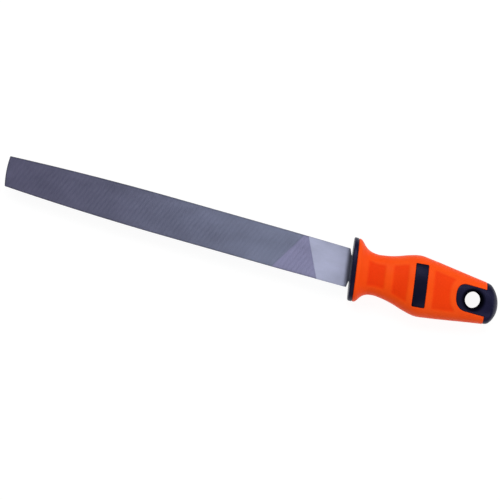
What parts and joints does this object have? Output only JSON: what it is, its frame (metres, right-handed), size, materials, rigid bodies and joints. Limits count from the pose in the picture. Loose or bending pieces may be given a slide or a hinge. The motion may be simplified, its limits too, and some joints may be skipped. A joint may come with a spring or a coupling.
{
  "type": "flat file",
  "caption": "Flat metalworking file with a tapered double-cut blade, a plain heel, and a two-colour moulded handle with a collar and a hanging hole.",
  "frame": {"origin": "centre of the whole file's box, on the blade's centre line and mid thickness", "axes": "+X along the blade from the tip to the butt of the handle, +Y across the broad face, +Z out of the broad face"},
  "size_m": [0.3602, 0.0447, 0.0312],
  "materials": {
    "tool_steel": "file-cut teeth, satin ground heel",
    "grip_orange": "satin moulded elastomer with a fine texture",
    "dark_plastic": "satin moulded plastic",
    "core_plastic": "as moulded, hidden",
    "label_plastic": "smooth semi-gloss, blank"
  },
  "bodies": {
    "root": {"file_blade": "tool_steel", "front_collar": "dark_plastic", "handle_core": "core_plastic", "grip_overmould": "grip_orange", "label_inlay_front": "label_plastic", "label_inlay_back": "label_plastic", "butt_cap": "dark_plastic"}
  },
  "joints": []
}
